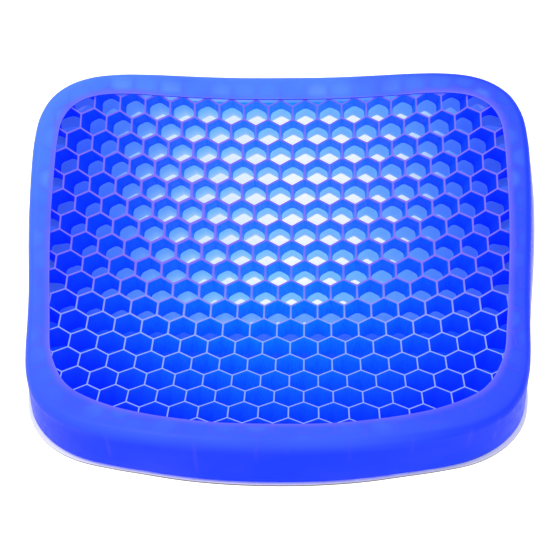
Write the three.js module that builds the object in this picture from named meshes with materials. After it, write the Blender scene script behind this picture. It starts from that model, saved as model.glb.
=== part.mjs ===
// Honeycomb gel seat cushion.
//
// A moulded double-layer honeycomb pad with a smooth rim skin and a thin pale
// backing sheet. The pad is dished to seat the body: it rises towards the back,
// rises more steeply towards the front edge, and lifts at both sides.
//
// Frame: millimetres, +Z up, +X to the sitter's right, +Y to the back of the
// seat. The origin is on the supporting surface, under the middle of the pad.
//
// Every solid is first laid out flat in pad coordinates (u across, v front to
// back, w through the thickness, w = 0 on the top of the cell walls) and then
// bent onto the dished seat surface.
import * as THREE from 'three';

// ---------------------------------------------------------------- dimensions
const CELL_PITCH = 21.5;        // centre to centre of neighbouring cells
const WALL_EDGE = 1.3;          // cell wall thickness at the open edges
const WALL_MID = 3.6;           // cell wall thickness where the layers meet
const WALL_FOOT = 2.8;          // cell wall thickness at the underside
const UPPER_DEPTH = 15.0;       // depth of the upper cells
const LAYER_GAP = 0.3;          // clearance between the two layers
const PAD_DEPTH = 33.0;         // from the top of the cells to the bottom
const RIM_TOP = 2.6;            // height of the rim skin over the cells
const RIM_UNDER = 0.6;          // underside of the rim skin over the cells
const RIM_RADIUS = 7.8;         // rounding of the upper outer edge
const RIM_WALL = 2.6;           // thickness of the outer wall
const WALL_CLEAR = 0.7;         // clearance from the outer wall to the layers
const BORDER = 2.0;             // least wall between a cell and a layer's edge
const SHEET_TOP = -33.7;        // top of the backing sheet
const SHEET_THICK = 1.2;        // thickness of the backing sheet
const SHEET_PROUD = 0.8;        // how far the sheet stands past the wall
const CORNER_PROUD = 2.4;       // how much farther it stands at the front corners
const CORNER_FLARE = 6.0;       // how far the wall's foot stands out there
const REST_FLAT = 3.5;          // depth to which the belly is flattened
const SHIFT_Y = 0.30;           // pad coordinates to the object's own origin
const LEAST_CELL = 80;          // smallest part cell at the border, in mm2
const OUTLINE_SEGMENTS = 76;    // facets round the rim
const SHEET_GRID = 21;          // spacing of the sheet's inner points

// The belly of the sheet stands at the height -REST_FLAT before flattening.
const LIFT = -SHEET_TOP + SHEET_THICK - REST_FLAT;

// Height of the lower layer's own flattened belly, just over the sheet.
const BELLY = SHEET_THICK + 1.8;

// Slope of the seat along its centre line, in radians, as a polynomial in
// v / 150 mm, held constant past its ends.
const SLOPE = [0.03075, 0.62505, -0.37371, -0.22745, 0.19297];
// Rise of the seat to either side: A a^2 + B a^4 with a = u / 180 mm, where
// A and B are polynomials in v / 150 mm.
const SIDE_A = [18.8179, 15.9691, -1.4603, 4.9934];
const SIDE_B = [0.4654, -1.9462, -8.3738];

// The cells of the upper layer lean: their lower ends are carried inwards and
// to the front by these shares of the depth, as polynomials in a and
// b = v / 150 mm. The cells below run straight down, and at the two sides on
// to the front by LEAN_LOW. All of it dies away at the rim.
const LEAN_IN = [-0.1442, 0.0546, 0.4435, -0.1269];
const LEAN_ON = [0.0244, -0.2217, 0.3803, 0.0851, -0.2242];
const LEAN_LOW = 0.24;
const LEAN_BAND = [5, 22];      // distance from the outer edge over which it grows

// Right half of the outer edge and of the rim's inner edge, front to back.
const OUTER_HALF = [
  [0, -186.5], [28, -185.6], [60, -182.0], [92, -175.4], [120, -167.2], [144, -157.4],
  [161, -146.8], [173.6, -135.2], [183.4, -120.6], [189.8, -104.6], [193.8, -86.5], [197.2, -60],
  [200.4, -32], [203.6, -4], [206.6, 26], [208.8, 58], [209.6, 86], [209.2, 110],
  [206.0, 132.4], [197.4, 150.2], [183.4, 163.0], [165.6, 171.4], [142, 176.9], [118, 179.8],
  [87, 181.9], [44, 183.8], [0, 184.8],
];
const INNER_HALF = [
  [0, -165.0], [22, -164.6], [41, -163.2], [59, -160.2], [77, -156.2], [96, -150.7],
  [116, -143.4], [133, -134.8], [149, -124.6], [159, -114.3], [166, -103.0], [171.0, -92.8],
  [175.0, -81.5], [178.6, -62], [184.6, -25], [188.4, 10], [190.4, 39], [190.9, 64],
  [190.8, 88], [190.0, 112], [187.6, 127.6], [181.6, 139.3], [171.2, 148.3], [156.4, 154.4],
  [132, 158.0], [100, 159.2], [66, 160.0], [32, 160.8], [0, 161.2],
];

// ------------------------------------------------------------- seat surface
const TABLE_STEP = 0.5;
const TABLE_HALF = 460;
const slopeAt = (v) => {
  const s = Math.max(-1, Math.min(1, v / 150));
  return SLOPE.reduce((sum, c, i) => sum + c * s ** i, 0);
};
const spine = [];
for (let i = -TABLE_HALF; i <= TABLE_HALF; i++) spine.push({ t: slopeAt(i * TABLE_STEP), y: 0, z: 0 });
for (let i = 1; i < spine.length; i++) {
  const a = spine[i - 1], b = spine[i];
  b.y = a.y + (Math.cos(a.t) + Math.cos(b.t)) * 0.5 * TABLE_STEP;
  b.z = a.z + (Math.sin(a.t) + Math.sin(b.t)) * 0.5 * TABLE_STEP;
}
const mid = { ...spine[TABLE_HALF] };
for (const p of spine) { p.y -= mid.y; p.z -= mid.z; }

function spineAt(v) {
  const q = v / TABLE_STEP + TABLE_HALF;
  const i = Math.max(0, Math.min(spine.length - 2, Math.floor(q)));
  const f = q - i, a = spine[i], b = spine[i + 1];
  return { t: a.t + (b.t - a.t) * f, y: a.y + (b.y - a.y) * f, z: a.z + (b.z - a.z) * f };
}

function seat(u, v) {
  const { t, y, z } = spineAt(v);
  const b = Math.max(-1.4, Math.min(1.4, v / 150)), a = u / 180;
  const A = SIDE_A.reduce((s, c, i) => s + c * b ** i, 0);
  const B = SIDE_B.reduce((s, c, i) => s + c * b ** i, 0);
  const h = A * a * a + B * a ** 4;
  // the pad keeps its width along the curve, so it draws in a little in plan
  const x = u - (4 * A * A * a ** 3 / 3 + 16 * A * B * a ** 5 / 5 + 16 * B * B * a ** 7 / 7) / 360;
  return new THREE.Vector3(x, y - Math.sin(t) * h, z + Math.cos(t) * h);
}

// pad coordinates -> object frame; floor keeps the underside flat where it lies
function bend(u, v, w, floor = -Infinity) {
  const e = 0.5;
  const du = seat(u + e, v).sub(seat(u - e, v));
  const dv = seat(u, v + e).sub(seat(u, v - e));
  const p = seat(u, v).addScaledVector(du.cross(dv).normalize(), w);
  return [p.x, p.y + SHIFT_Y, Math.max(p.z + LIFT, floor)];
}

// ------------------------------------------------------------ plan outlines
function closedOutline(half, count) {
  const left = half.slice(1, -1).reverse().map(([u, v]) => [-u, v]);
  const curve = new THREE.CatmullRomCurve3(
    [...half, ...left].map(([u, v]) => new THREE.Vector3(u, v, 0)), true, 'centripetal');
  return curve.getSpacedPoints(count).slice(0, count).map((p) => new THREE.Vector2(p.x, p.y));
}
// inward unit normals of a counter-clockwise outline
function inwardNormals(pts) {
  return pts.map((p, i) => {
    const a = pts[(i + pts.length - 1) % pts.length], b = pts[(i + 1) % pts.length];
    return new THREE.Vector2(-(b.y - a.y), b.x - a.x).normalize();
  });
}
const outer = closedOutline(OUTER_HALF, OUTLINE_SEGMENTS);
const outerIn = inwardNormals(outer);
const innerFine = closedOutline(INNER_HALF, 240);
const inset = (d) => outer.map((p, i) => p.clone().addScaledVector(outerIn[i], d));

// whether a point lies inside a convex outline with some room to its edges
function clear(p, outline, room) {
  return outline.every((a, i) => {
    const b = outline[(i + 1) % outline.length];
    return ((b.x - a.x) * (p.y - a.y) - (b.y - a.y) * (p.x - a.x)) / a.distanceTo(b) > room;
  });
}

function ease(x) {
  const s = Math.max(0, Math.min(1, x));
  return s * s * (3 - 2 * s);
}

// how far the foot of the wall stands out at a point of the outer edge
const flare = (p) => CORNER_FLARE * ease((-86 - p.y) / 42) * ease((Math.abs(p.x) - 85) / 85);

// a point of a cell wall at depth w, carried sideways by the lean
function lean(p, w) {
  const a = Math.max(-0.95, Math.min(0.95, p.x / 180)), b = Math.max(-0.75, Math.min(1, p.y / 150));
  const side = a * (LEAN_IN[0] + LEAN_IN[1] * b + LEAN_IN[2] * a * a + LEAN_IN[3] * b * b);
  const on = LEAN_ON[0] + LEAN_ON[1] * b + LEAN_ON[2] * a * a + LEAN_ON[3] * b * b + LEAN_ON[4] * a * a * b;
  const A = SIDE_A.reduce((s, c, i) => s + c * b ** i, 0), B = SIDE_B.reduce((s, c, i) => s + c * b ** i, 0);
  const slope = (2 * A * a + 4 * B * a ** 3) / 180;
  let near = Infinity;
  for (let i = 0; i < outer.length; i++) {
    const q = outer[i], e = outer[(i + 1) % outer.length].clone().sub(q);
    const k = Math.max(0, Math.min(1, p.clone().sub(q).dot(e) / e.lengthSq()));
    near = Math.min(near, q.clone().addScaledVector(e, k).distanceTo(p));
  }
  const share = ease((near - LEAN_BAND[0]) / (LEAN_BAND[1] - LEAN_BAND[0]));
  const high = Math.max(w, -UPPER_DEPTH), low = Math.min(w + UPPER_DEPTH, 0);
  const lowOn = LEAN_LOW * ease((Math.abs(p.x) - 30) / 80) * ease((p.y + 110) / 60);
  return new THREE.Vector2(
    p.x + share * (high * (side + slope) + low * slope),
    p.y + share * (high * Math.max(-0.12, Math.min(0.33, on)) + low * lowOn));
}

// distance from an outer point along its inward normal to the rim's inner edge
function rimWidth(p, n) {
  let best = Infinity;
  for (let i = 0; i < innerFine.length; i++) {
    const a = innerFine[i], b = innerFine[(i + 1) % innerFine.length];
    const ex = b.x - a.x, ey = b.y - a.y;
    const den = n.x * ey - n.y * ex;
    if (Math.abs(den) < 1e-9) continue;
    const s = ((a.x - p.x) * ey - (a.y - p.y) * ex) / den;
    const t = ((a.x - p.x) * n.y - (a.y - p.y) * n.x) / den;
    if (s > 0 && t >= -1e-6 && t <= 1 + 1e-6) best = Math.min(best, s);
  }
  return best;
}

// ------------------------------------------------------------- cell pattern
// convex polygon cut down to the inside of a counter-clockwise convex outline
function clipConvex(poly, clip) {
  let out = poly;
  for (let i = 0; i < clip.length && out.length; i++) {
    const a = clip[i], b = clip[(i + 1) % clip.length];
    const side = (p) => (b.x - a.x) * (p.y - a.y) - (b.y - a.y) * (p.x - a.x);
    const next = [];
    for (let j = 0; j < out.length; j++) {
      const p = out[j], q = out[(j + 1) % out.length], sp = side(p), sq = side(q);
      if (sp >= 0) next.push(p);
      if ((sp > 0 && sq < 0) || (sp < 0 && sq > 0)) next.push(p.clone().lerp(q, sp / (sp - sq)));
    }
    out = next;
  }
  // drop points that nearly coincide or lie on a straight edge
  let tidy = out.filter((p, j) => p.distanceTo(out[(j + 1) % out.length]) > 0.6);
  tidy = tidy.filter((p, j) => {
    const a = tidy[(j + tidy.length - 1) % tidy.length], b = tidy[(j + 1) % tidy.length];
    const cross = (p.x - a.x) * (b.y - p.y) - (p.y - a.y) * (b.x - p.x);
    return cross > 0.3;
  });
  return tidy;
}

function hexagon(cu, cv, wall) {
  const r = (CELL_PITCH - wall) / Math.sqrt(3);
  return Array.from({ length: 6 }, (_, i) => {
    const a = Math.PI / 6 + i * Math.PI / 3;
    return new THREE.Vector2(cu + r * Math.cos(a), cv + r * Math.sin(a));
  });
}

const ROW_PITCH = CELL_PITCH * Math.sqrt(3) / 2;
const MID_SCALE = (CELL_PITCH - WALL_MID) / (CELL_PITCH - WALL_EDGE);
const FOOT_SCALE = (CELL_PITCH - WALL_FOOT) / (CELL_PITCH - WALL_EDGE);
function cells(limit) {
  const list = [];
  const rows = Math.ceil(200 / ROW_PITCH), cols = Math.ceil(225 / CELL_PITCH);
  for (let r = -rows; r <= rows; r++) {
    for (let c = -cols; c <= cols; c++) {
      const cu = (c + (Math.abs(r) % 2) * 0.5) * CELL_PITCH, cv = r * ROW_PITCH;
      const edge = clipConvex(hexagon(cu, cv, WALL_EDGE), limit);
      if (edge.length < 3 || THREE.ShapeUtils.area(edge) < LEAST_CELL) continue;
      const c0 = edge.reduce((s, p) => s.add(p), new THREE.Vector2()).divideScalar(edge.length);
      const at = (w, k) => edge.map((p) => lean(p.clone().sub(c0).multiplyScalar(k).add(c0), w));
      list.push({
        edge, throat: at(-UPPER_DEPTH, MID_SCALE),
        joint: at(-UPPER_DEPTH - LAYER_GAP, MID_SCALE), foot: at(-PAD_DEPTH, FOOT_SCALE),
      });
    }
  }
  return list;
}

// ------------------------------------------------------------ mesh building
function solid(positions, triangles) {
  const g = new THREE.BufferGeometry();
  g.setAttribute('position', new THREE.Float32BufferAttribute(positions.flat(), 3));
  g.setIndex(triangles.flat());
  g.computeVertexNormals();
  return g;
}

// Flat triangulation with well-shaped triangles: the ears of the outline are
// cut first, loose inner points are dropped in, and then every free edge is
// turned until no triangle's circle holds a neighbouring corner.
function triangulate(contour, holes, inner = []) {
  const pts = [contour, ...holes].flat();
  const fixed = new Set(), key = (a, b) => (a < b ? a * 65536 + b : b * 65536 + a);
  let k = 0;
  for (const loop of [contour, ...holes]) {
    loop.forEach((_, i) => fixed.add(key(k + i, k + (i + 1) % loop.length)));
    k += loop.length;
  }
  const turn = (a, b, c) => (b.x - a.x) * (c.y - a.y) - (b.y - a.y) * (c.x - a.x);
  const tris = THREE.ShapeUtils.triangulateShape(contour, holes)
    .map(([a, b, c]) => (turn(pts[a], pts[b], pts[c]) > 0 ? [a, b, c] : [a, c, b]));
  for (const p of inner) {
    const t = tris.findIndex(([a, b, c]) => turn(pts[a], pts[b], p) > 1e-3
      && turn(pts[b], pts[c], p) > 1e-3 && turn(pts[c], pts[a], p) > 1e-3);
    if (t < 0) continue;
    const n = pts.push(p) - 1, [a, b, c] = tris[t];
    tris[t] = [a, b, n];
    tris.push([b, c, n], [c, a, n]);
  }
  const inCircle = (a, b, c, d) => {
    const ax = a.x - d.x, ay = a.y - d.y, bx = b.x - d.x, by = b.y - d.y, cx = c.x - d.x, cy = c.y - d.y;
    return (ax * ax + ay * ay) * (bx * cy - cx * by) - (bx * bx + by * by) * (ax * cy - cx * ay)
      + (cx * cx + cy * cy) * (ax * by - bx * ay);
  };
  for (let pass = 0, turned = 1; turned && pass < 400; pass++) {
    turned = 0;
    const edges = new Map(), used = new Set();
    tris.forEach((t, i) => t.forEach((a, j) => {
      const e = key(a, t[(j + 1) % 3]);
      if (fixed.has(e)) return;
      if (edges.has(e)) edges.get(e).push([i, j]); else edges.set(e, [[i, j]]);
    }));
    for (const pair of edges.values()) {
      if (pair.length !== 2) continue;
      const [[i, ji], [m, jm]] = pair;
      if (used.has(i) || used.has(m)) continue;
      const a = tris[i][ji], b = tris[i][(ji + 1) % 3], c = tris[i][(ji + 2) % 3], d = tris[m][(jm + 2) % 3];
      if (turn(pts[a], pts[d], pts[c]) < 1e-3 || turn(pts[d], pts[b], pts[c]) < 1e-3) continue;
      if (inCircle(pts[a], pts[b], pts[c], pts[d]) < 1e-3) continue;
      tris[i] = [a, d, c];
      tris[m] = [d, b, c];
      used.add(i); used.add(m);
      turned++;
    }
  }
  return { pts, tris };
}

// A layer between two levels, with or without cells. Each level has its own
// contour and its own holes, in the same order and with as many corners.
function layer(top, bottom) {
  const positions = [], triangles = [];
  const lid = (level, up) => {
    const base = positions.length;
    const { pts, tris } = triangulate(level.contour, level.holes ?? [], level.inner);
    for (const p of pts) positions.push(bend(p.x, p.y, level.w, level.floor));
    for (const [a, b, c] of tris) triangles.push(up ? [base + a, base + b, base + c] : [base + a, base + c, base + b]);
    return base;
  };
  const t0 = lid(top, true), b0 = lid(bottom, false);
  let k = 0;
  const walls = (n) => {
    for (let i = 0; i < n; i++) {
      const j = (i + 1) % n;
      const ta = t0 + k + i, tb = t0 + k + j, ba = b0 + k + i, bb = b0 + k + j;
      triangles.push([ta, ba, bb], [ta, bb, tb]);
    }
    k += n;
  };
  walls(top.contour.length);
  for (const h of top.holes ?? []) walls(h.length);
  return solid(positions, triangles);
}

// A closed ring: the section is a list of functions of the rim width that give
// [distance in from the outer edge, w].
function ring(section) {
  const positions = [], triangles = [], n = section.length, m = outer.length;
  for (let i = 0; i < m; i++) {
    const width = rimWidth(outer[i], outerIn[i]);
    for (const f of section) {
      const [d, w] = f(width);
      const depth = Math.max(0, Math.min(1, (RIM_TOP - RIM_RADIUS - w) / (PAD_DEPTH + RIM_TOP - RIM_RADIUS)));
      const out = d < RIM_WALL ? flare(outer[i]) * depth : 0;
      const p = outer[i].clone().addScaledVector(outerIn[i], d - out);
      positions.push(bend(p.x, p.y, w));
    }
  }
  for (let i = 0; i < m; i++) {
    for (let j = 0; j < n; j++) {
      const a = i * n + j, b = i * n + (j + 1) % n;
      const c = ((i + 1) % m) * n + j, d = ((i + 1) % m) * n + (j + 1) % n;
      triangles.push([a, c, d], [a, d, b]);
    }
  }
  return solid(positions, triangles);
}

// -------------------------------------------------------------------- parts
const gelDeep = new THREE.MeshStandardMaterial({ color: 0x0b52ff, roughness: 0.35, metalness: 0 });
const gelLight = new THREE.MeshStandardMaterial({ color: 0x4f8dff, roughness: 0.35, metalness: 0 });
const gelRim = new THREE.MeshStandardMaterial({ color: 0x3a5eff, roughness: 0.3, metalness: 0 });
const paleSheet = new THREE.MeshStandardMaterial({ color: 0xe6e6f4, roughness: 0.75, metalness: 0 });

const cushion = new THREE.Group();
const add = (name, geometry, material) => {
  const mesh = new THREE.Mesh(geometry, material);
  mesh.name = name;
  cushion.add(mesh);
};

const sideInset = RIM_WALL + WALL_CLEAR;
const topInset = RIM_RADIUS - 0.3;
const cellPlan = cells(inset(topInset + BORDER));
// cells run clockwise, the contour counter-clockwise
const holesAt = (level) => cellPlan.map((c) => c[level].toReversed());

add('upper_honeycomb', layer(
  { contour: inset(topInset), holes: holesAt('edge'), w: 0 },
  { contour: inset(sideInset), holes: holesAt('throat'), w: -UPPER_DEPTH }), gelDeep);

add('lower_honeycomb', layer(
  { contour: inset(sideInset), holes: holesAt('joint'), w: -UPPER_DEPTH - LAYER_GAP },
  { contour: inset(sideInset), holes: holesAt('foot'), w: -PAD_DEPTH, floor: BELLY }), gelLight);

const c45 = Math.SQRT1_2;
add('rim_skin', ring([
  () => [2.4, -PAD_DEPTH],
  () => [0.7, -PAD_DEPTH + 0.7],
  () => [0, -PAD_DEPTH + 2.4],
  () => [0, RIM_TOP - RIM_RADIUS],
  () => [RIM_RADIUS * (1 - Math.cos(Math.PI / 8)), RIM_TOP - RIM_RADIUS * (1 - Math.sin(Math.PI / 8))],
  () => [RIM_RADIUS * (1 - c45), RIM_TOP - RIM_RADIUS * (1 - c45)],
  () => [RIM_RADIUS * (1 - Math.sin(Math.PI / 8)), RIM_TOP - RIM_RADIUS * (1 - Math.cos(Math.PI / 8))],
  () => [RIM_RADIUS, RIM_TOP],
  (width) => [width - 0.9, RIM_TOP],
  (width) => [width, RIM_TOP - 0.8],
  (width) => [width, RIM_UNDER + 0.4],
  (width) => [width - 0.5, RIM_UNDER],
  () => [RIM_RADIUS - 0.5, RIM_UNDER],
  () => [RIM_WALL + 1.5, -1.2],
  () => [RIM_WALL, -5.2],
  () => [RIM_WALL, -PAD_DEPTH],
]), gelRim);

// the sheet is widest round the two front corners
const sheetEdge = outer.map((p, i) => {
  const corner = Math.hypot(Math.abs(p.x) - 172, p.y + 132) / 62;
  return p.clone().addScaledVector(outerIn[i],
    -SHEET_PROUD - flare(p) - CORNER_PROUD * Math.max(0, 1 - corner ** 2) ** 2);
});
const sheetPoints = [];
for (let v = -200; v <= 200; v += SHEET_GRID * 0.87) {
  const odd = Math.round((v + 200) / (SHEET_GRID * 0.87)) % 2;
  for (let u = -220; u <= 220; u += SHEET_GRID) {
    const p = new THREE.Vector2(u + odd * SHEET_GRID / 2, v);
    if (clear(p, sheetEdge, 9)) sheetPoints.push(p);
  }
}
add('backing_sheet', layer(
  { contour: sheetEdge, inner: sheetPoints, w: SHEET_TOP, floor: SHEET_THICK },
  { contour: sheetEdge, inner: sheetPoints, w: SHEET_TOP - SHEET_THICK, floor: 0 }), paleSheet);

export default cushion;
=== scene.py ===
# Honeycomb gel seat cushion: the looks.
#
# Four soft pieces stand for the four solids of the frame. Each is laid out in
# the pad's own coordinates (u across, v front to back, w through the
# thickness, millimetres) and bent onto the dished seat surface.
import math
import random

import bpy
import numpy as np
from mathutils import Matrix, Vector
from mathutils.geometry import delaunay_2d_cdt


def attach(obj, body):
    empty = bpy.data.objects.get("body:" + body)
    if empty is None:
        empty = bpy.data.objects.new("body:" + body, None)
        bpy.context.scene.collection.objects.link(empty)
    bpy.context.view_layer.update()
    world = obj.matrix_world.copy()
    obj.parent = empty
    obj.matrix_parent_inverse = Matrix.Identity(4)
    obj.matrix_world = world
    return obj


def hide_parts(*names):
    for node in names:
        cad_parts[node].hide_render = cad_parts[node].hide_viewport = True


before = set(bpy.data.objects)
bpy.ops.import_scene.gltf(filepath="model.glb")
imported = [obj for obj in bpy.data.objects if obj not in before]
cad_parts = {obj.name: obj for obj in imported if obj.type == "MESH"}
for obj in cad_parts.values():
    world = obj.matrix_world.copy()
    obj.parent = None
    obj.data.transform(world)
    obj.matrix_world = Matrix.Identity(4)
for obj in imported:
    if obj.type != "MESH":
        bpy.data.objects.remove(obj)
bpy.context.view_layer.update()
scene = bpy.context.scene

# ------------------------------------------------------------- the pad's sizes
PITCH = 21.5
WALL_EDGE = 1.3
WALL_MID = 3.6
WALL_FOOT = 2.8
UPPER_DEPTH = 15.0
PAD_DEPTH = 33.0
RIM_TOP = 2.6
RIM_RADIUS = 7.8
RIM_WALL = 2.6
WALL_CLEAR = 0.7
BORDER = 2.0
SHEET_TOP = -33.7
SHEET_THICK = 1.2
SHEET_PROUD = 0.8
CORNER_PROUD = 2.4
CORNER_FLARE = 6.0
REST_FLAT = 3.5
SHIFT_Y = 0.30
LEAST_CELL = 80.0
LIFT = -SHEET_TOP + SHEET_THICK - REST_FLAT
BELLY = SHEET_THICK + 1.8

SLOPE = [0.03075, 0.62505, -0.37371, -0.22745, 0.19297]
SIDE_A = [18.8179, 15.9691, -1.4603, 4.9934]
SIDE_B = [0.4654, -1.9462, -8.3738]
LEAN_IN = [-0.1442, 0.0546, 0.4435, -0.1269]
LEAN_ON = [0.0244, -0.2217, 0.3803, 0.0851, -0.2242]
LEAN_LOW = 0.24
LEAN_BAND = (5.0, 22.0)

OUTER_HALF = [
    (0, -186.5), (28, -185.6), (60, -182.0), (92, -175.4), (120, -167.2), (144, -157.4),
    (161, -146.8), (173.6, -135.2), (183.4, -120.6), (189.8, -104.6), (193.8, -86.5), (197.2, -60),
    (200.4, -32), (203.6, -4), (206.6, 26), (208.8, 58), (209.6, 86), (209.2, 110),
    (206.0, 132.4), (197.4, 150.2), (183.4, 163.0), (165.6, 171.4), (142, 176.9), (118, 179.8),
    (87, 181.9), (44, 183.8), (0, 184.8),
]
INNER_HALF = [
    (0, -165.0), (22, -164.6), (41, -163.2), (59, -160.2), (77, -156.2), (96, -150.7),
    (116, -143.4), (133, -134.8), (149, -124.6), (159, -114.3), (166, -103.0), (171.0, -92.8),
    (175.0, -81.5), (178.6, -62), (184.6, -25), (188.4, 10), (190.4, 39), (190.9, 64),
    (190.8, 88), (190.0, 112), (187.6, 127.6), (181.6, 139.3), (171.2, 148.3), (156.4, 154.4),
    (132, 158.0), (100, 159.2), (66, 160.0), (32, 160.8), (0, 161.2),
]

# ------------------------------------------------------------ the seat surface
TABLE = np.linspace(-230.0, 230.0, 921)
_s = np.clip(TABLE / 150.0, -1, 1)
_t = sum(c * _s**i for i, c in enumerate(SLOPE))
_y = np.concatenate([[0], np.cumsum((np.cos(_t[1:]) + np.cos(_t[:-1])) * 0.25)])
_z = np.concatenate([[0], np.cumsum((np.sin(_t[1:]) + np.sin(_t[:-1])) * 0.25)])
_y -= _y[460]
_z -= _z[460]


def seat(u, v):
    t, y, z = (np.interp(v, TABLE, k) for k in (_t, _y, _z))
    b, a = np.clip(v / 150.0, -1.4, 1.4), u / 180.0
    A = sum(c * b**i for i, c in enumerate(SIDE_A))
    B = sum(c * b**i for i, c in enumerate(SIDE_B))
    h = A * a * a + B * a**4
    x = u - (4 * A * A * a**3 / 3 + 16 * A * B * a**5 / 5 + 16 * B * B * a**7 / 7) / 360.0
    return np.stack([x, y - np.sin(t) * h, z + np.cos(t) * h], -1)


def ease(x):
    s = np.clip(x, 0, 1)
    return s * s * (3 - 2 * s)


def flare(pts):
    """How far the foot of the wall stands out at points of the outer edge."""
    return CORNER_FLARE * ease((-86 - pts[:, 1]) / 42) * ease((np.abs(pts[:, 0]) - 85) / 85)


def lean(pts, w):
    """Points of the cell walls at depth w, carried sideways by the lean."""
    u, v = pts[:, 0], pts[:, 1]
    a, b = np.clip(u / 180.0, -0.95, 0.95), np.clip(v / 150.0, -0.75, 1.0)
    side = a * (LEAN_IN[0] + LEAN_IN[1] * b + LEAN_IN[2] * a * a + LEAN_IN[3] * b * b)
    on = LEAN_ON[0] + LEAN_ON[1] * b + LEAN_ON[2] * a * a + LEAN_ON[3] * b * b + LEAN_ON[4] * a * a * b
    A = sum(c * b**i for i, c in enumerate(SIDE_A))
    B = sum(c * b**i for i, c in enumerate(SIDE_B))
    slope = (2 * A * a + 4 * B * a**3) / 180.0
    near = np.full(u.shape, 1e9)
    for p, q in zip(OUT76, np.roll(OUT76, -1, 0)):
        e = q - p
        k = np.clip(((u - p[0]) * e[0] + (v - p[1]) * e[1]) / (e @ e), 0, 1)
        near = np.minimum(near, np.hypot(u - p[0] - k * e[0], v - p[1] - k * e[1]))
    share = ease((near - LEAN_BAND[0]) / (LEAN_BAND[1] - LEAN_BAND[0]))
    high, low = max(w, -UPPER_DEPTH), min(w + UPPER_DEPTH, 0.0)
    low_on = LEAN_LOW * ease((np.abs(u) - 30) / 80) * ease((v + 110) / 60)
    return pts + np.stack([share * (high * (side + slope) + low * slope),
                           share * (high * np.clip(on, -0.12, 0.33) + low * low_on)], -1)


def bend(pad, floor=-1e9):
    """Pad coordinates in mm, as rows of (u, v, w), to metres in the frame."""
    pad = np.asarray(pad, float)
    u, v, w = pad[:, 0], pad[:, 1], pad[:, 2]
    e = 0.5
    n = np.cross(seat(u + e, v) - seat(u - e, v), seat(u, v + e) - seat(u, v - e))
    n /= np.linalg.norm(n, axis=1, keepdims=True)
    p = seat(u, v) + n * w[:, None]
    p[:, 1] += SHIFT_Y
    p[:, 2] = np.maximum(p[:, 2] + LIFT, floor)
    return p / 1000.0


# --------------------------------------------------------------- the outlines
def smooth_closed(half, count):
    """Centripetal Catmull-Rom through the half and its mirror, evenly spaced."""
    pts = np.array(list(half) + [(-u, v) for u, v in half[1:-1][::-1]], float)
    n, out = len(pts), []
    s = np.linspace(0, 1, 24, endpoint=False)[:, None]
    for i in range(n):
        p0, p1, p2, p3 = pts[i - 1], pts[i], pts[(i + 1) % n], pts[(i + 2) % n]
        d0, d1, d2 = (math.sqrt(np.linalg.norm(b - a)) for a, b in ((p0, p1), (p1, p2), (p2, p3)))
        t1 = ((p1 - p0) / d0 - (p2 - p0) / (d0 + d1) + (p2 - p1) / d1) * d1
        t2 = ((p2 - p1) / d1 - (p3 - p1) / (d1 + d2) + (p3 - p2) / d2) * d1
        out.append(p1 + t1 * s + (-3 * p1 + 3 * p2 - 2 * t1 - t2) * s**2 + (2 * p1 - 2 * p2 + t1 + t2) * s**3)
    fine = np.concatenate(out)
    closed = np.vstack([fine, fine[:1]])
    along = np.concatenate([[0], np.cumsum(np.linalg.norm(np.diff(closed, axis=0), axis=1))])
    at = np.linspace(0, along[-1], count, endpoint=False)
    return np.stack([np.interp(at, along, closed[:, k]) for k in (0, 1)], -1)


def inward(pts):
    d = np.roll(pts, -1, 0) - np.roll(pts, 1, 0)
    n = np.stack([-d[:, 1], d[:, 0]], -1)
    return n / np.linalg.norm(n, axis=1, keepdims=True)


def widths(pts, normals, inner):
    """Distance from each outer point along its inward normal to the inner outline."""
    a, b = inner, np.roll(inner, -1, 0)
    e = b - a
    out = []
    for p, n in zip(pts, normals):
        den = n[0] * e[:, 1] - n[1] * e[:, 0]
        den = np.where(np.abs(den) < 1e-9, 1e-9, den)
        s = ((a[:, 0] - p[0]) * e[:, 1] - (a[:, 1] - p[1]) * e[:, 0]) / den
        t = ((a[:, 0] - p[0]) * n[1] - (a[:, 1] - p[1]) * n[0]) / den
        out.append(s[(s > 0) & (t >= -1e-6) & (t <= 1 + 1e-6)].min())
    return np.array(out)


OUT76 = smooth_closed(OUTER_HALF, 76)
OUT = smooth_closed(OUTER_HALF, 640)
INN = smooth_closed(INNER_HALF, 640)
OUT_IN = inward(OUT)


def smooth_ring(values, times):
    for _ in range(times):
        values = (np.roll(values, 1, 0) + 2 * values + np.roll(values, -1, 0)) / 4
    return values


RIM_W = smooth_ring(widths(OUT, OUT_IN, INN), 6)


def inset(d, pts=OUT, normals=OUT_IN):
    return pts + normals * (d if np.isscalar(d) else np.asarray(d)[:, None])


# ------------------------------------------------------------------ the cells
def clip_convex(poly, clip):
    out = [np.array(p, float) for p in poly]
    n = len(clip)
    for i in range(n):
        a, b = clip[i], clip[(i + 1) % n]
        side = lambda p: (b[0] - a[0]) * (p[1] - a[1]) - (b[1] - a[1]) * (p[0] - a[0])
        nxt = []
        for j, p in enumerate(out):
            q = out[(j + 1) % len(out)]
            sp, sq = side(p), side(q)
            if sp >= 0:
                nxt.append(p)
            if (sp > 0 > sq) or (sp < 0 < sq):
                nxt.append(p + (q - p) * (sp / (sp - sq)))
        out = nxt
        if not out:
            return []
    tidy = [p for j, p in enumerate(out) if np.linalg.norm(p - out[(j + 1) % len(out)]) > 0.6]
    keep = []
    for j, p in enumerate(tidy):
        a, b = tidy[j - 1], tidy[(j + 1) % len(tidy)]
        if (p[0] - a[0]) * (b[1] - p[1]) - (p[1] - a[1]) * (b[0] - p[0]) > 0.3:
            keep.append(p)
    return keep


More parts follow.
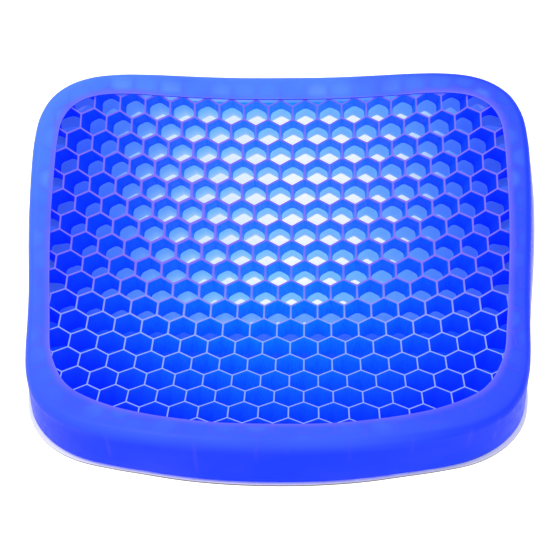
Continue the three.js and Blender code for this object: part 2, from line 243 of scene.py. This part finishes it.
def area_of(poly):
    p = np.array(poly)
    q = np.roll(p, -1, 0)
    return 0.5 * float(np.sum(p[:, 0] * q[:, 1] - p[:, 1] * q[:, 0]))


ROW = PITCH * math.sqrt(3) / 2
LIMIT = OUT76 + inward(OUT76) * (RIM_RADIUS - 0.3 + BORDER)


def cells():
    """Corners of each cell's opening, anticlockwise, cut back at the border."""
    found = []
    r0 = (PITCH - WALL_EDGE) / math.sqrt(3)
    for r in range(-11, 12):
        for c in range(-11, 12):
            cu, cv = (c + (abs(r) % 2) * 0.5) * PITCH, r * ROW
            hexagon = [(cu + r0 * math.cos(math.pi / 6 + i * math.pi / 3),
                        cv + r0 * math.sin(math.pi / 6 + i * math.pi / 3)) for i in range(6)]
            poly = clip_convex(hexagon, LIMIT)
            if len(poly) >= 3 and area_of(poly) >= LEAST_CELL:
                found.append(np.array(poly))
    return found


CELLS = cells()


def rounded(poly, wall, tangent, steps):
    """The cell's loop where the wall is this thick, its corners rounded off."""
    scale = (PITCH - wall) / (PITCH - WALL_EDGE)
    c = poly.mean(0)
    p = (poly - c) * scale + c
    out, n = [], len(p)
    for j in range(n):
        a, b = p[j - 1] - p[j], p[(j + 1) % n] - p[j]
        la, lb = np.linalg.norm(a), np.linalg.norm(b)
        t = min(tangent, 0.46 * la, 0.46 * lb)
        A, B = p[j] + a / la * t, p[j] + b / lb * t
        for k in range(steps + 1):
            s = k / steps
            out.append((1 - s) ** 2 * A + 2 * s * (1 - s) * p[j] + s * s * B)
    return np.array(out)


def lid(contour, loops):
    """Triangles of the flat web between the contour and the cell loops."""
    pts = np.concatenate([contour] + loops)
    owner = np.concatenate([np.full(len(contour), -1)] + [np.full(len(l), i) for i, l in enumerate(loops)])
    edges, k = [], 0
    for l in [contour] + loops:
        edges += [(k + i, k + (i + 1) % len(l)) for i in range(len(l))]
        k += len(l)
    verts, _, faces, orig, _, _ = delaunay_2d_cdt([Vector(p) for p in pts], edges, [], 1, 1e-7)
    back = [o[0] for o in orig]
    tris = []
    for f in faces:
        t = [back[i] for i in f]
        own = {int(owner[i]) for i in t}
        if len(own) == 1 and own != {-1}:
            continue
        a, b, c = (pts[i] for i in t)
        if (b[0] - a[0]) * (c[1] - a[1]) - (b[1] - a[1]) * (c[0] - a[0]) < 0:
            t = t[::-1]
        tris.append(t)
    return tris


def broad(poly, w):
    """Extra wall thickness of the upper walls: they stand wider open to the
    view in the back half of the seat, most of all on its left."""
    u, v = poly.mean(0)
    left = 1.35 * math.exp(-((u + 85) / 62) ** 2 - ((v - 55) / 95) ** 2)
    right = 0.75 * math.exp(-((u - 105) / 62) ** 2 - ((v - 40) / 90) ** 2)
    return (left + right) * float(np.clip((w + 12.5) / 8.0, 0, 1))


def comb(name, levels, floor=-1e9, steps=4):
    """A layer of open cells. levels run from the top down as
    (w, wall thickness, corner tangent, inset of the outer edge)."""
    pad, faces, bases = [], [], []
    for w, wall, tangent, edge in levels:
        contour = inset(edge)[::2]
        loops = [lean(rounded(c, wall + broad(c, w), tangent, steps), w) for c in CELLS]
        bases.append((len(pad), contour, loops))
        for l in [contour] + loops:
            pad += [(p[0], p[1], w) for p in l]
    for which, up in ((0, True), (-1, False)):
        base, contour, loops = bases[which]
        faces += [[base + i for i in (t if up else t[::-1])] for t in lid(contour, loops)]
    for (top, contour, loops), (low, _, _) in zip(bases, bases[1:]):
        k = 0
        for which, l in enumerate([contour] + loops):
            n = len(l)
            for i in range(n):
                j = (i + 1) % n
                a, b, c, d = top + k + i, low + k + i, low + k + j, top + k + j
                faces.append([a, b, c, d] if which == 0 else [a, d, c, b])
            k += n
    return make(name, np.array(pad), faces, floor)


def make(name, pad, faces, floor=-1e9, points=None, sharp=38.0, **extra):
    mesh = bpy.data.meshes.new(name)
    where = bend(pad, floor) if points is None else points
    mesh.from_pydata(where.tolist(), [], faces)
    mesh.validate(clean_customdata=False)
    mesh.update()
    at = mesh.attributes.new("pad", "FLOAT_VECTOR", "POINT")
    at.data.foreach_set("vector", np.asarray(pad, np.float32).ravel())
    for key, values in extra.items():
        a = mesh.attributes.new(key, "FLOAT", "POINT")
        a.data.foreach_set("value", np.asarray(values, np.float32))
    mesh.shade_smooth()
    mesh.set_sharp_from_angle(angle=math.radians(sharp))
    obj = bpy.data.objects.new(name, mesh)
    scene.collection.objects.link(obj)
    return obj


# ------------------------------------------------------------------ materials
class Graph:
    """A material's node tree, written as expressions."""

    def __init__(self, name):
        self.mat = bpy.data.materials.new(name)
        self.mat.use_nodes = True
        self.t = self.mat.node_tree
        self.t.nodes.clear()
        self.out = self.t.nodes.new("ShaderNodeOutputMaterial")
        self.bsdf = self.t.nodes.new("ShaderNodeBsdfPrincipled")
        self.t.links.new(self.bsdf.outputs["BSDF"], self.out.inputs["Surface"])
        pad = self.t.nodes.new("ShaderNodeAttribute")
        pad.attribute_name = "pad"
        self.pad = pad.outputs["Vector"]
        sep = self.t.nodes.new("ShaderNodeSeparateXYZ")
        self.t.links.new(self.pad, sep.inputs[0])
        self.u, self.v, self.w = sep.outputs

    def put(self, socket, value):
        if isinstance(value, bpy.types.NodeSocket):
            self.t.links.new(value, socket)
        else:
            socket.default_value = value

    def math(self, op, a, b=0.0, c=0.0, clamp=False):
        n = self.t.nodes.new("ShaderNodeMath")
        n.operation, n.use_clamp = op, clamp
        for s, x in zip(n.inputs, (a, b, c)):
            self.put(s, x)
        return n.outputs[0]

    def span(self, x, a, b, c=0.0, d=1.0, smooth=True):
        n = self.t.nodes.new("ShaderNodeMapRange")
        n.interpolation_type = "SMOOTHSTEP" if smooth else "LINEAR"
        for s, k in zip(n.inputs, (x, a, b, c, d)):
            self.put(s, k)
        return n.outputs[0]

    def ramp(self, x, stops):
        n = self.t.nodes.new("ShaderNodeValToRGB")
        e = n.color_ramp.elements
        while len(e) < len(stops):
            e.new(0.5)
        for k, (p, col) in enumerate(stops):
            e[k].position = p
            e[k].color = (*col, 1)
        self.put(n.inputs[0], x)
        return n.outputs[0]

    def mix(self, fac, a, b, blend="MIX"):
        n = self.t.nodes.new("ShaderNodeMix")
        n.data_type, n.blend_type = "RGBA", blend
        self.put(n.inputs[0], fac)
        for s, x in ((n.inputs[6], a), (n.inputs[7], b)):
            self.put(s, (*x, 1) if isinstance(x, tuple) else x)
        return n.outputs[2]

    def scaled(self, k, vec=None):
        n = self.t.nodes.new("ShaderNodeVectorMath")
        n.operation = "MULTIPLY"
        self.put(n.inputs[0], vec or self.pad)
        n.inputs[1].default_value = k
        return n.outputs[0]

    def noise(self, vec, scale, detail=3.0, rough=0.5):
        n = self.t.nodes.new("ShaderNodeTexNoise")
        self.put(n.inputs["Vector"], vec)
        n.inputs["Scale"].default_value = scale
        n.inputs["Detail"].default_value = detail
        n.inputs["Roughness"].default_value = rough
        return n.outputs[0]

    def attribute(self, name):
        n = self.t.nodes.new("ShaderNodeAttribute")
        n.attribute_name = name
        return n.outputs["Fac"]

    def bump(self, height, strength, distance):
        n = self.t.nodes.new("ShaderNodeBump")
        n.inputs["Strength"].default_value = strength
        n.inputs["Distance"].default_value = distance
        self.put(n.inputs["Height"], height)
        self.t.links.new(n.outputs["Normal"], self.bsdf.inputs["Normal"])

    def finish(self, colour, rough, specular=0.3, glow=0.0):
        b = self.bsdf.inputs
        self.put(b["Base Color"], colour)
        self.put(b["Roughness"], rough)
        b["Specular IOR Level"].default_value = specular
        # emission in the surface's own colour: a painted glow
        if not isinstance(glow, float) or glow > 0:
            self.put(b["Emission Color"], colour)
            self.put(b["Emission Strength"], glow)
        return self.mat


def spread_from_middle(g):
    """0 in the back middle of the seat, about 1 at its sides and front."""
    a = g.math("DIVIDE", g.u, 190.0)
    b = g.math("DIVIDE", g.math("MAXIMUM", g.math("SUBTRACT", 20.0, g.v), 0.0), 215.0)
    return g.math("SQRT", g.math("ADD", g.math("MULTIPLY", a, a), g.math("MULTIPLY", b, b)))


def gel_upper():
    g = Graph("gel_deep_blue")
    r = spread_from_middle(g)
    cloud = g.noise(g.scaled((0.02, 0.02, 0.02)), 1.0, 3.0)
    # painted shading: the walls are paler in the back middle of the seat and deeper to its sides and front
    body = g.ramp(g.math("ADD", r, g.math("MULTIPLY", g.math("SUBTRACT", cloud, 0.5), 0.12)), [
        (0.00, (0.006, 0.275, 1.0)), (0.22, (0.006, 0.250, 1.0)), (0.45, (0.006, 0.185, 1.0)),
        (0.68, (0.005, 0.110, 1.0)), (0.92, (0.004, 0.042, 1.0))])
    # painted shade: soft darker streaks run down the walls
    streak = g.noise(g.scaled((0.9, 0.9, 0.03)), 1.0, 2.0, 0.6)
    body = g.mix(g.span(streak, 0.42, 0.68, 0.0, 0.30), body, (0.003, 0.04, 0.85))
    # painted highlight: the thin wall tops are painted lighter and violet, paler to the front
    front = g.span(g.v, 5.0, -70.0)
    lip = g.mix(front, (0.165, 0.130, 0.84), (0.22, 0.30, 1.0))
    low = g.span(front, 0.0, 1.0, -0.75, -0.20, smooth=False)
    high = g.span(front, 0.0, 1.0, -0.12, -0.02, smooth=False)
    body = g.mix(g.span(g.w, low, high), body, lip)
    rough = g.span(g.noise(g.scaled((0.35, 0.35, 0.35)), 1.0, 4.0), 0.3, 0.7, 0.30, 0.46)
    g.bump(g.noise(g.scaled((0.5, 0.5, 0.12)), 1.0, 3.0), 0.25, 0.0006)
    # painted glow: emission in the gel's colour stands in for light passing through it
    return g.finish(body, rough, 0.05, 0.18)


def gel_lower():
    g = Graph("gel_light_blue")
    r = spread_from_middle(g)
    # painted light: the lower walls are a far paler blue than the upper walls, for the light from the sheet below
    # shining through them; paler in the middle, deeper to the sides
    deep = g.span(g.w, -17.0, -32.0)
    body = g.ramp(r, [
        (0.00, (0.30, 0.68, 1.0)), (0.30, (0.27, 0.64, 1.0)), (0.55, (0.22, 0.52, 1.0)),
        (0.80, (0.15, 0.36, 0.92)), (0.97, (0.10, 0.24, 0.70))])
    pale = g.ramp(r, [
        (0.00, (0.26, 0.52, 1.0)), (0.35, (0.24, 0.50, 1.0)), (0.62, (0.20, 0.44, 1.0)),
        (0.90, (0.12, 0.28, 0.80))])
    # painted glow: on the left the foot of the walls is painted paler and glows into the sheet below
    soft = g.math("MULTIPLY", g.span(g.u, 30.0, -70.0), g.span(r, 0.75, 0.4))
    pale = g.mix(soft, pale, (0.48, 0.68, 1.0))
    body = g.mix(deep, body, pale)
    body = g.mix(g.span(g.v, -22.0, -62.0), body, (0.008, 0.16, 1.0))
    rough = g.span(g.noise(g.scaled((0.35, 0.35, 0.35)), 1.0, 4.0), 0.3, 0.7, 0.32, 0.5)
    g.bump(g.noise(g.scaled((0.5, 0.5, 0.12)), 1.0, 3.0), 0.25, 0.0006)
    # painted glow: emission in the gel's colour stands in for light passing through it
    return g.finish(body, rough, 0.05, 0.22)


def gel_rim():
    g = Graph("gel_rim_blue")
    # painted light: the crown is lighter than the sides, the back lighter than the front, and the right side darker
    back = g.span(g.v, -150.0, 150.0)
    right = g.span(g.u, 40.0, 185.0)
    top = g.mix(right, g.span(g.w, -9.0, 2.2), g.span(g.w, 0.6, 2.75))
    side = g.mix(back, (0.008, 0.037, 1.0), (0.016, 0.068, 1.0))
    crown = g.mix(back, (0.034, 0.085, 1.0), (0.055, 0.160, 1.0))
    crown = g.mix(g.math("MULTIPLY", right, 0.8), crown, (0.020, 0.050, 0.98))
    side = g.mix(g.math("MULTIPLY", right, 0.7), side, (0.010, 0.036, 0.98))
    # painted shade: darker low down at the front right corner
    deep = g.math("MULTIPLY", g.math("MULTIPLY", right, g.span(g.v, -70.0, -150.0)), g.span(g.w, -12.0, -31.0))
    side = g.mix(g.math("MULTIPLY", deep, 0.85), side, (0.002, 0.035, 0.52))
    body = g.mix(top, side, crown)
    # the cells below show faintly through the skin
    ghost = g.attribute("ghost")
    body = g.mix(g.math("MULTIPLY", ghost, 0.34), body, (0.13, 0.27, 1.0))
    body = g.mix(g.math("MULTIPLY", g.attribute("vein"), 0.55), body, (0.10, 0.075, 0.82))
    body = g.mix(g.attribute("lip"), body, (0.125, 0.115, 0.88))
    # painted highlight along the rounded inner edge
    body = g.mix(g.attribute("edge"), body, (0.20, 0.22, 1.0))
    body = g.mix(g.attribute("shade"), body, (0.004, 0.012, 0.40))
    cloud = g.noise(g.scaled((0.018, 0.018, 0.03)), 1.0, 3.0)
    body = g.mix(g.span(cloud, 0.45, 0.75, 0.0, 0.35), body, (0.030, 0.055, 0.98))
    rough = g.span(g.noise(g.scaled((0.25, 0.25, 0.25)), 1.0, 4.0), 0.3, 0.7, 0.30, 0.44)
    g.bump(g.noise(g.scaled((0.12, 0.12, 0.12)), 1.0, 4.0), 0.22, 0.0012)
    # painted glow: emission in the gel's colour stands in for light passing through it
    return g.finish(body, rough, 0.05, 0.16)


def pale_sheet():
    g = Graph("pale_woven_sheet")
    # plain weave, a thread every 0.9 mm
    def threads(a, b):
        x = g.math("SINE", g.math("MULTIPLY", a, 2 * math.pi / 0.9))
        y = g.math("SINE", g.math("MULTIPLY", b, 2 * math.pi / 0.9))
        return g.math("MULTIPLY", g.math("ADD", g.math("MULTIPLY", x, y), 1.0), 0.5)
    weave = threads(g.u, g.v)
    fuzz = g.noise(g.scaled((0.6, 0.6, 0.6)), 1.0, 4.0, 0.6)
    cloth = g.mix(g.math("MULTIPLY", weave, 0.35), (0.86, 0.86, 0.94), (0.70, 0.70, 0.80))
    cloth = g.mix(g.span(fuzz, 0.4, 0.7, 0.0, 0.25), cloth, (0.78, 0.77, 0.84))
    # painted light: the gel's blue light painted onto the face under the cells, more to the sides, hazier to the left
    # and cyan along the back
    side = g.math("DIVIDE", g.math("ABSOLUTE", g.u), 190.0)
    painted_blue_light = g.ramp(side, [
        (0.00, (1.0, 0.84, 0.97)), (0.50, (0.95, 0.84, 1.0)), (0.64, (0.56, 0.68, 1.0)),
        (0.76, (0.17, 0.36, 0.95)), (0.90, (0.08, 0.18, 0.70))])
    hazy = g.span(g.u, 20.0, -60.0, 0.0, 0.45)
    painted_blue_light = g.mix(hazy, painted_blue_light, (0.50, 0.68, 1.0), "MULTIPLY")
    painted_blue_light = g.mix(g.span(g.v, 165.0, 171.0), painted_blue_light, (0.012, 0.26, 1.0))
    cloth = g.mix(g.attribute("lit"), cloth, painted_blue_light)
    # the rolled edge's lower side is painted dark grey-brown
    cloth = g.mix(g.attribute("binding"), cloth, (0.16, 0.13, 0.12))
    g.bump(g.math("ADD", weave, g.math("MULTIPLY", fuzz, 0.8)), 0.5, 0.0004)
    # painted glow: the lit face under the cells glows
    return g.finish(cloth, 0.85, 0.15, g.math("MULTIPLY", g.attribute("lit"), 0.66))


# ------------------------------------------------------------------ the pieces
UPPER = comb("upper_comb", [
    (0.00, 0.72, 0.55, 7.7),
    (-0.12, 1.02, 0.60, 7.5),
    (-0.40, 1.24, 0.70, 7.3),
    (-1.00, 1.38, 0.80, 7.0),
    (-5.00, 1.80, 1.30, 5.6),
    (-9.50, 2.45, 2.10, 4.2),
    (-13.20, 3.05, 2.80, 3.5),
    (-14.70, 3.36, 3.05, 3.4),
    (-15.05, 3.60, 3.20, 3.5)], steps=4)
LOWER = comb("lower_comb", [
    (-15.12, 3.60, 3.20, 3.5),
    (-15.50, 3.40, 3.05, 3.4),
    (-17.50, 3.30, 2.80, 3.3),
    (-22.00, 3.15, 2.50, 3.3),
    (-27.50, 2.98, 2.20, 3.3),
    (-32.40, 2.82, 1.90, 3.3),
    (-33.00, 2.30, 1.60, 3.5)], floor=BELLY / 1.0, steps=4)


def hex_wall(u, v):
    """Distance in mm to the nearest wall line of the honeycomb, and the cell's
    own number, at each point."""
    best = np.full(u.shape, 1e9)
    second = np.full(u.shape, 1e9)
    who = np.zeros(u.shape, int)
    base = np.round(v / ROW).astype(int)
    for dr in (-1, 0, 1):
        r = base + dr
        off = (np.abs(r) % 2) * 0.5
        for dc in (-1, 0, 1):
            c = np.round(u / PITCH - off).astype(int) + dc
            d = np.hypot(u - (c + off) * PITCH, v - r * ROW)
            better = d < best
            second = np.where(better, best, np.minimum(second, d))
            who = np.where(better, r * 1000 + c, who)
            best = np.where(better, d, best)
    return (second - best) / 2, who


def rim():
    section = []  # (distance in, w) as functions of the rim width
    for k in range(5):
        a = k / 4 * math.pi / 2
        section.append(lambda W, a=a: (2.4 * (1 - math.sin(a)), -PAD_DEPTH + 2.4 * (1 - math.cos(a))))
    for k in range(1, 13):
        w = -PAD_DEPTH + 2.4 + (RIM_TOP - RIM_RADIUS + PAD_DEPTH - 2.4) * k / 13
        section.append(lambda W, w=w: (0.0, w))
    for k in range(0, 10):
        a = k / 9 * math.pi / 2
        section.append(lambda W, a=a: (RIM_RADIUS * (1 - math.cos(a)), RIM_TOP - RIM_RADIUS * (1 - math.sin(a))))
    for k in range(1, 12):
        section.append(lambda W, k=k: (RIM_RADIUS + (W - 0.9 - RIM_RADIUS) * k / 11,
                                       RIM_TOP + 0.35 * math.sin(math.pi * k / 11)))
    for k in range(1, 5):
        a = k / 4 * math.pi / 2
        section.append(lambda W, a=a: (W - 0.9 + 0.9 * math.sin(a), RIM_TOP - 0.9 + 0.9 * math.cos(a)))
    section += [
        lambda W: (W, 0.9), lambda W: (W - 0.15, 0.35), lambda W: (W - 0.6, 0.12),
        lambda W: ((W + RIM_RADIUS) / 2, 0.12), lambda W: (RIM_RADIUS - 0.5, 0.12),
        lambda W: (RIM_WALL + 2.6, -0.5), lambda W: (RIM_WALL + 1.2, -1.8), lambda W: (RIM_WALL + 0.3, -4.0),
        lambda W: (RIM_WALL, -7.0), lambda W: (RIM_WALL, -15.0), lambda W: (RIM_WALL, -24.0),
        lambda W: (RIM_WALL, -PAD_DEPTH + 0.3), lambda W: (RIM_WALL - 0.15, -PAD_DEPTH),
    ]
    m, n = len(OUT), len(section)
    d = np.array([[f(W) for f in section] for W in RIM_W])
    pad = np.empty((m, n, 3))
    depth = np.clip((RIM_TOP - RIM_RADIUS - d[:, :, 1]) / (PAD_DEPTH + RIM_TOP - RIM_RADIUS), 0, 1)
    out = np.where(d[:, :, 0] < 2.43, flare(OUT)[:, None] * depth, 0)
    pad[:, :, :2] = OUT[:, None, :] + OUT_IN[:, None, :] * (d[:, :, 0] - out)[:, :, None]
    pad[:, :, 2] = d[:, :, 1]
    u, v, w, far = pad[..., 0], pad[..., 1], pad[..., 2], d[..., 0]
    wall, who = hex_wall(u, v)
    on_top = np.clip((w - 1.2) / 1.0, 0, 1) * (np.arange(n) < 41)[None, :]
    to_lip = RIM_W[:, None] - far
    # cells show near the inner edge; each is a little different
    vary = np.array([[math.modf(abs(math.sin(k * 12.9898) * 43758.5453))[0] for k in row] for row in who])
    near = np.clip(1.35 - to_lip / 15.0, 0, 1)
    ghost = on_top * near * (0.45 + 0.55 * ease((v + 60) / 120)) * np.clip((wall - 0.8) / 5.0, 0, 1) * (0.1 + 1.1 * vary ** 1.5) * np.clip(to_lip / 4.0 - 0.4, 0, 1)
    vein = on_top * near * np.clip(1 - wall / 1.5, 0, 1) * (0.45 + 0.55 * vary)
    # the outermost walls print through the side as faint upright lines
    upright = np.abs(((u / PITCH) % 1.0) - 0.5) * PITCH
    lines = np.clip(1 - upright / 0.9, 0, 1) * (np.abs(OUT_IN[:, None, 1]) > 0.72)
    column = np.floor(u / PITCH).astype(int) + 50
    pick = np.array([[math.modf(abs(math.sin(k * 78.233) * 9871.13))[0] for k in row] for row in column])
    fade = np.clip((w + 26 * pick + 4) / 7.0, 0, 1) * np.clip((1.8 - w) / 4.0, 0, 1)
    vein = np.maximum(vein, lines * fade * np.clip(pick * 1.3 - 0.2, 0, 1) * 0.8 * (np.arange(n) < 41)[None, :])
    lip = on_top * np.clip(1 - to_lip / 6.0, 0, 1) ** 1.3
    lip = lip * (1 - 0.85 * ease((v - 140) / 12) * ease((125 - np.abs(u)) / 30))
    outer_side = (np.arange(n) < 41)[None, :] & (w > 0.2)
    # edge marks a painted highlight along the rounded inner edge of the top
    edge = np.where(outer_side, np.clip(1 - to_lip / 0.9, 0, 1), 0)
    # the thin shaded face under the lip, seen only along the back
    shade = ((w < 1.75) & (far > RIM_W[:, None] - 0.7)) * ease((v - 140) / 12)
    # the skin sinks very slightly over each cell and stands along the walls
    pad[..., 2] += 0.16 * vein * on_top - 0.12 * ghost
    faces = []
    for i in range(m):
        j = (i + 1) % m
        for k in range(n):
            l = (k + 1) % n
            faces.append([i * n + k, j * n + k, j * n + l, i * n + l])
    return make("rim_skin_moulded", pad.reshape(-1, 3), faces, sharp=60,
                ghost=ghost.ravel(), vein=vein.ravel(), lip=lip.ravel(), edge=edge.ravel(), shade=shade.ravel())


RIM = rim()


def sheet():
    """The backing sheet: a fine flat grid with a rolled edge, cut to the pad's
    outline and a little wider round the front corners."""
    corner = np.hypot(np.abs(OUT[:, 0]) - 172, OUT[:, 1] + 132) / 62
    proud = SHEET_PROUD + flare(OUT) + CORNER_PROUD * np.maximum(0, 1 - corner**2) ** 2
    edge = OUT[::2] - OUT_IN[::2] * proud[::2, None]
    m = len(edge)
    rings = [(0.0, 0.0), (0.25, 0.03), (0.45, 0.16), (0.55, 0.38), (0.55, 0.82), (0.45, 1.04), (0.25, 1.17), (0.0, 1.2)]
    nrm = OUT_IN[::2]
    # lit marks the upper face under the cells, painted as lit and made to glow
    pad, binding, lit = [], [], []
    # inner points for the flat faces
    inner, room = [], []
    step = 7.0
    safe = inset(4.5)[::4]
    nxt = np.roll(safe, -1, 0)
    for i, y in enumerate(np.arange(-190, 191, step * 0.87)):
        for x in np.arange(-214, 215, step):
            p = (x + (i % 2) * step / 2, y)
            cross = (nxt[:, 0] - safe[:, 0]) * (p[1] - safe[:, 1]) - (nxt[:, 1] - safe[:, 1]) * (p[0] - safe[:, 0])
            if cross.min() > 0:
                inner.append(p)
                room.append(float((cross / np.linalg.norm(nxt - safe, axis=1)).min()))
    inner = np.array(inner)
    faces, bases = [], []
    for out, drop in rings:
        bases.append(len(pad))
        w = SHEET_TOP - drop
        loop = edge + nrm * (0.55 - out)
        pad += [(p[0], p[1], w) for p in loop]
        band = 1.0 if drop > 0.1 else 0.0
        binding += [band] * m
        lit += list(ease((loop[:, 1] - 150) / 15)) if drop < 0.1 else [0.0] * m
    for a, b in zip(bases, bases[1:]):
        for i in range(m):
            j = (i + 1) % m
            faces.append([a + i, b + i, b + j, a + j])
    for base, up, w in ((bases[0], True, SHEET_TOP), (bases[-1], False, SHEET_TOP - SHEET_THICK)):
        start = len(pad)
        pad += [(p[0], p[1], w) for p in inner]
        binding += [0.0] * len(inner)
        lit += list(np.maximum(ease((np.array(room) - 2.0) / 6.0), ease((inner[:, 1] - 150) / 12))) if up else [0.0] * len(inner)
        ring_pts = edge + nrm * 0.55
        pts = [Vector(p) for p in ring_pts] + [Vector(p) for p in inner]
        _, _, tris, orig, _, _ = delaunay_2d_cdt(pts, [(i, (i + 1) % m) for i in range(m)], [], 1, 1e-7)
        for f in tris:
            t = [orig[i][0] for i in f]
            a, b, c = (pts[i] for i in t)
            if (b - a).cross(c - a) < 0:
                t = t[::-1]
            t = [base + i if i < m else start + i - m for i in t]
            faces.append(t if up else t[::-1])
    pad = np.array(pad, float)
    where = bend(pad)
    # the belly lies flat: the underside on z = 0, the upper face a thickness up
    drop = SHEET_TOP - pad[:, 2]
    where[:, 2] = np.maximum(where[:, 2], (SHEET_THICK - drop) / 1000.0)
    return make("backing_sheet_cloth", pad, faces, points=where, sharp=60, binding=binding, lit=lit)


SHEET = sheet()

for piece, node, slot, material in (
    (UPPER, "upper_honeycomb", "gel_deep", gel_upper()),
    (LOWER, "lower_honeycomb", "gel_light", gel_lower()),
    (RIM, "rim_skin", "gel_rim", gel_rim()),
    (SHEET, "backing_sheet", "backing", pale_sheet()),
):
    piece.data.materials.append(material)
    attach(piece, "root")
    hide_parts(node)


def run(u, v):
    """Length in metres of a line along the sheet's upper face."""
    at = bend(np.stack([u, v, np.full(u.shape, SHEET_TOP)], -1), BELLY - 1.8)
    return float(np.linalg.norm(np.diff(at, axis=0), axis=1).sum())


edge_u = float(OUT[:, 0].max()) + SHEET_PROUD
edge_v = float(OUT[np.argmax(OUT[:, 0]), 1])
line = np.linspace(-1, 1, 401)
across = run(line * edge_u, np.full(401, edge_v))
along = run(np.zeros(401), np.linspace(OUT[:, 1].min() - SHEET_PROUD, OUT[:, 1].max() + SHEET_PROUD, 401))

# ---------------------------------------------------------------- the studio
floor_mesh = bpy.data.meshes.new("studio_floor")
floor_mesh.from_pydata([(-6, -6, 0), (6, -6, 0), (6, 6, 0), (-6, 6, 0)], [], [(0, 1, 2, 3)])
floor = bpy.data.objects.new("studio_floor", floor_mesh)
floor.location.z = -0.0005
scene.collection.objects.link(floor)
fg = Graph("studio_floor_white")
fb = fg.bsdf.inputs
fb["Base Color"].default_value = (0.72, 0.72, 0.72, 1)
fb["Roughness"].default_value = 0.9
fb["Specular IOR Level"].default_value = 0.0
fb["Emission Color"].default_value = (1, 1, 1, 1)
fb["Emission Strength"].default_value = 0.62
floor_mesh.materials.append(fg.mat)

world = bpy.data.worlds.new("studio")
scene.world = world
world.use_nodes = True
world.node_tree.nodes["Background"].inputs[0].default_value = (1, 1, 1, 1)
world.node_tree.nodes["Background"].inputs[1].default_value = 0.92


def lamp(name, where, target, size, power):
    data = bpy.data.lights.new(name, "AREA")
    data.shape, data.size, data.energy = "DISK", size, power
    obj = bpy.data.objects.new(name, data)
    obj.location = where
    obj.rotation_mode = "QUATERNION"
    obj.rotation_quaternion = (Vector(target) - Vector(where)).to_track_quat("-Z", "Y")
    scene.collection.objects.link(obj)
    return obj


lamp("key", (-0.75, 0.55, 1.35), (0, 0, 0.05), 0.9, 11.0)
lamp("fill", (0.9, -0.9, 1.1), (0, 0, 0.05), 1.2, 4.0)

# ---------------------------------------------------------------- the camera
PITCH_DOWN, ROLL, YAW, DISTANCE, FOCAL, CX, CY = (
    1.0471975512, -0.0522270919, -0.0633237288, 760.3538, 918.2079, 278.4126, 273.2953)
fwd = Vector((math.sin(YAW) * math.cos(PITCH_DOWN), math.cos(YAW) * math.cos(PITCH_DOWN), -math.sin(PITCH_DOWN)))
right = Vector((math.cos(YAW), -math.sin(YAW), 0))
up = right.cross(fwd)
r2 = right * math.cos(ROLL) + up * math.sin(ROLL)
u2 = -right * math.sin(ROLL) + up * math.cos(ROLL)
cam_data = bpy.data.cameras.new("camera")
cam_data.sensor_width = 36.0
cam_data.lens = FOCAL / 560 * 36.0
cam_data.shift_x = 0.5 - CX / 560
cam_data.shift_y = CY / 560 - 0.5
cam_data.clip_start, cam_data.clip_end = 0.05, 30.0
cam = bpy.data.objects.new("camera", cam_data)
scene.collection.objects.link(cam)
place = Matrix((r2, u2, -fwd)).transposed().to_4x4()
place.translation = (-fwd * DISTANCE + Vector((0, SHIFT_Y, LIFT))) / 1000
cam.matrix_world = place
scene.camera = cam

scene.view_settings.view_transform = "Standard"
scene.view_settings.look = "None"
scene.view_settings.exposure = 0.0
scene.view_settings.gamma = 1.0
